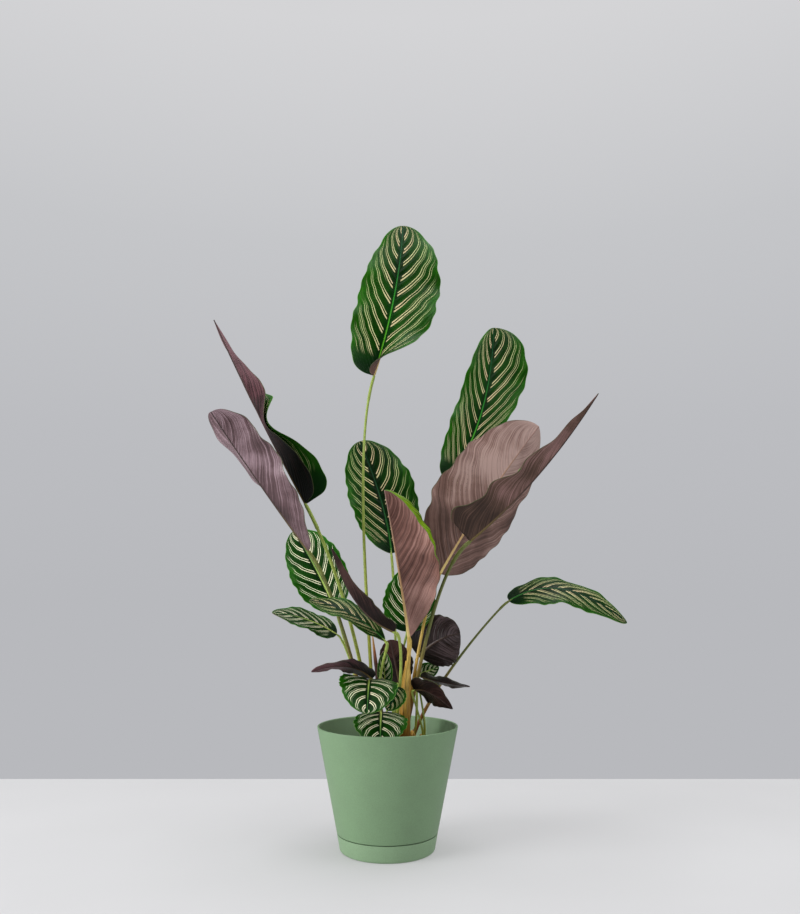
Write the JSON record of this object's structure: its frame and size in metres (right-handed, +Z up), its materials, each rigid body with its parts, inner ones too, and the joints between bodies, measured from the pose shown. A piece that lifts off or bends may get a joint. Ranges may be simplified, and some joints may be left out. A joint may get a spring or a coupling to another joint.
{
  "type": "potted calathea",
  "caption": "Potted calathea: pinstriped dark green leaves with purple undersides on slim upright stalks, in a tapered plastic pot with a fitted saucer.",
  "frame": {"origin": "centre of the saucer's flat underside, on the surface that the pot stands on", "axes": "+Z up, +X to the right as the picture shows it, +Y away from the viewer"},
  "size_m": [0.5012, 0.2435, 0.7602],
  "materials": {
    "pot": "satin",
    "saucer": "satin",
    "soil": "matte",
    "leaf": "satin",
    "stalk": "satin",
    "rolled_leaf": "satin"
  },
  "bodies": {
    "root": {"saucer": "saucer", "pot": "pot", "soil": "soil", "stalks_left": "stalk", "stalks_centre": "stalk", "stalks_back": "stalk", "stalks_front_left": "stalk", "stalks_front_mid": "stalk", "stalks_right": "stalk", "stalks_right_back": "stalk", "stalks_low_left": "stalk", "stalks_low_front": "stalk", "stalks_mid": "stalk", "stalks_arching": "stalk", "leaf_spear": "rolled_leaf", "blade_top": "leaf", "blade_upper_right": "leaf", "blade_right_broad": "leaf", "blade_right_long": "leaf", "blade_front": "leaf", "blade_centre_back": "leaf", "blade_upper_left": "leaf", "blade_mid_left": "leaf", "blade_low_left_broad": "leaf", "blade_low_left_flat": "leaf", "blade_small_left": "leaf", "blade_dark_left": "leaf", "blade_small_back": "leaf", "blade_round_right": "leaf", "blade_thin_right": "leaf", "blade_low_right": "leaf", "blade_dark_low_left": "leaf", "blade_front_round": "leaf", "blade_front_low": "leaf", "blade_shade": "leaf", "blade_dark_centre": "leaf", "blade_narrow": "leaf", "blade_arching": "leaf", "blade_pale": "leaf"}
  },
  "joints": []
}
